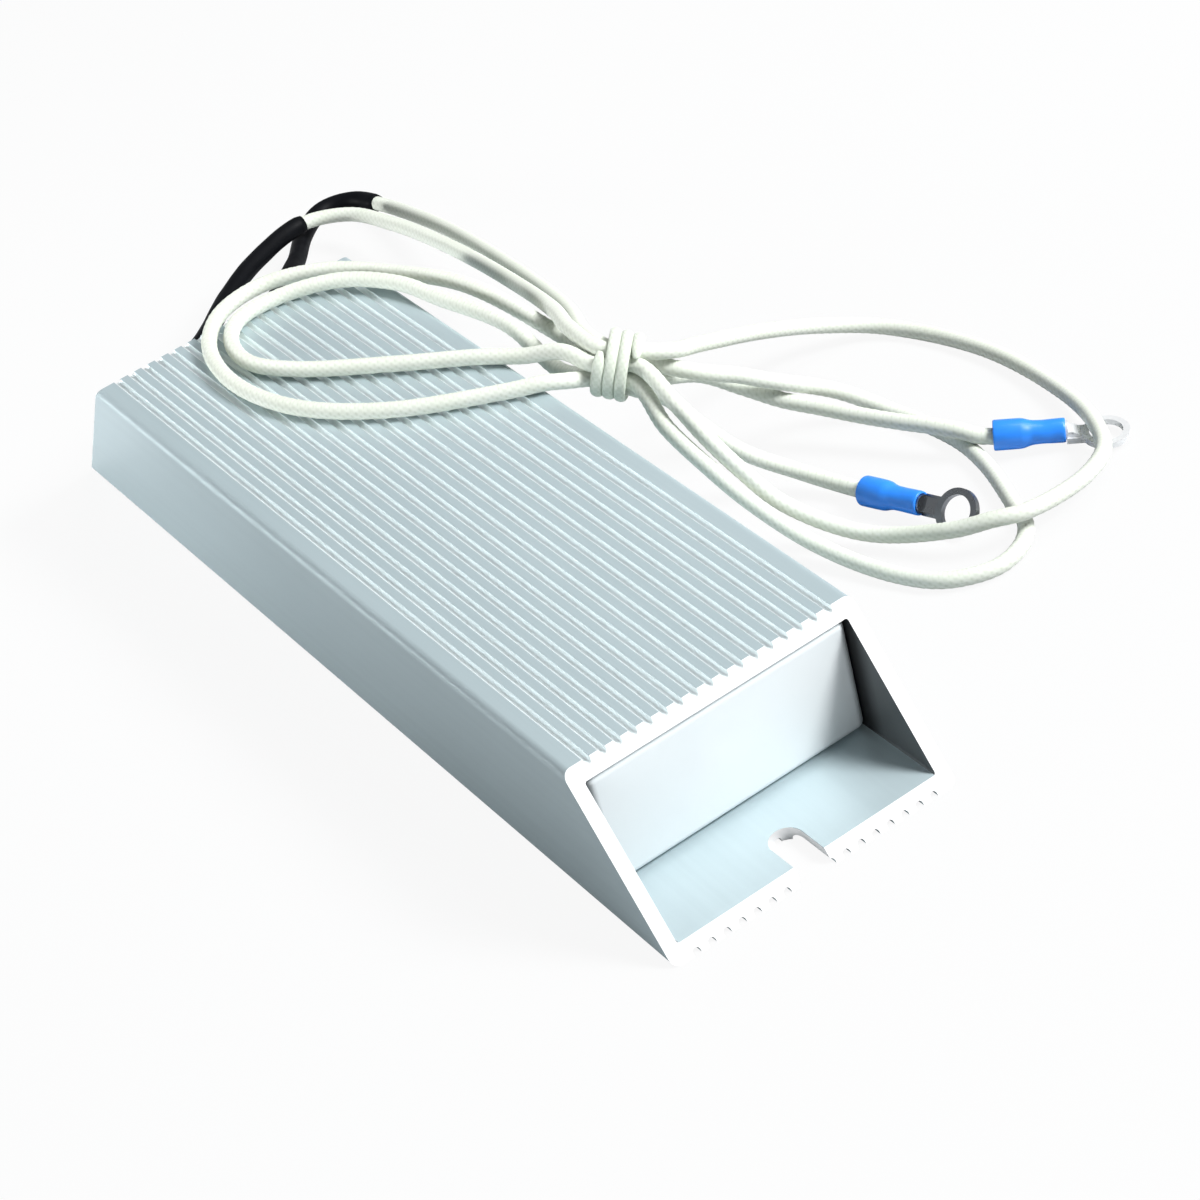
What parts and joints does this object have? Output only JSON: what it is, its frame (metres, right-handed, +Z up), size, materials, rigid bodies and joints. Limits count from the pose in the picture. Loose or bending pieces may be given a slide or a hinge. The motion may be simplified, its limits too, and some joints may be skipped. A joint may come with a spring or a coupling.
{
  "type": "aluminium housed power resistor",
  "caption": "Ribbed aluminium trapezoid resistor housing with slotted base lips, two sleeved braided leads tied in a hank and insulated ring terminals.",
  "frame": {"origin": "middle of the housing's base, on the surface it stands on", "axes": "+X along the extrusion away from the end where the leads leave, +Y across the extrusion towards the side where the leads lie, +Z up from the base"},
  "size_m": [0.17, 0.0966, 0.0244],
  "materials": {
    "housing_aluminium": "satin",
    "cap_aluminium": "matte",
    "cement": "matte",
    "core_ceramic": "matte",
    "resistance_alloy": "satin",
    "mica": "satin",
    "tinned_metal": "satin",
    "glass_braid": "matte",
    "black_shrink": "satin",
    "blue_insulation": "satin",
    "tie_sleeving": "matte"
  },
  "bodies": {
    "root": {"housing": "housing_aluminium", "end_cap_front": "cap_aluminium", "end_cap_rear": "cap_aluminium", "cement_fill": "cement", "ceramic_core_1": "core_ceramic", "ceramic_core_2": "core_ceramic", "resistance_wire": "resistance_alloy", "mica_sheet_upper": "mica", "mica_sheet_lower": "mica", "splice_ferrule_1": "tinned_metal", "splice_ferrule_2": "tinned_metal", "lead_1": "glass_braid", "lead_2": "glass_braid", "shrink_sleeve_1": "black_shrink", "shrink_sleeve_2": "black_shrink", "ring_terminal_1": "tinned_metal", "ring_terminal_2": "tinned_metal", "terminal_sleeve_1": "blue_insulation", "terminal_sleeve_2": "blue_insulation", "lead_tie": "tie_sleeving"}
  },
  "joints": []
}
